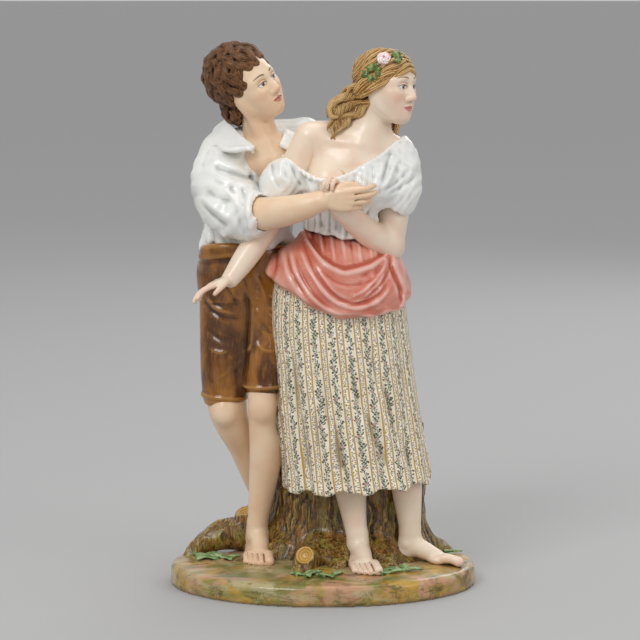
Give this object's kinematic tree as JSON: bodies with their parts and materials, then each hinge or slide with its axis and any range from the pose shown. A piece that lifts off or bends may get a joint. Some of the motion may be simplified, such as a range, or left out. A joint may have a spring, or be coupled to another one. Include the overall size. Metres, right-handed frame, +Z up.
{
  "type": "figurine",
  "caption": "Glazed porcelain figure group of a young man and woman in country dress beside a tree stump, on a low oval ground base.",
  "frame": {"origin": "middle of the oval base's underside, which is the middle of the group's outline seen from above", "axes": "+Z up, the base's long axis along X, the figures' front towards -Y"},
  "size_m": [0.2538, 0.1958, 0.45],
  "materials": {
    "glazed_ceramic": "gloss"
  },
  "bodies": {
    "root": {"courting_couple_group": "glazed_ceramic"}
  },
  "joints": []
}
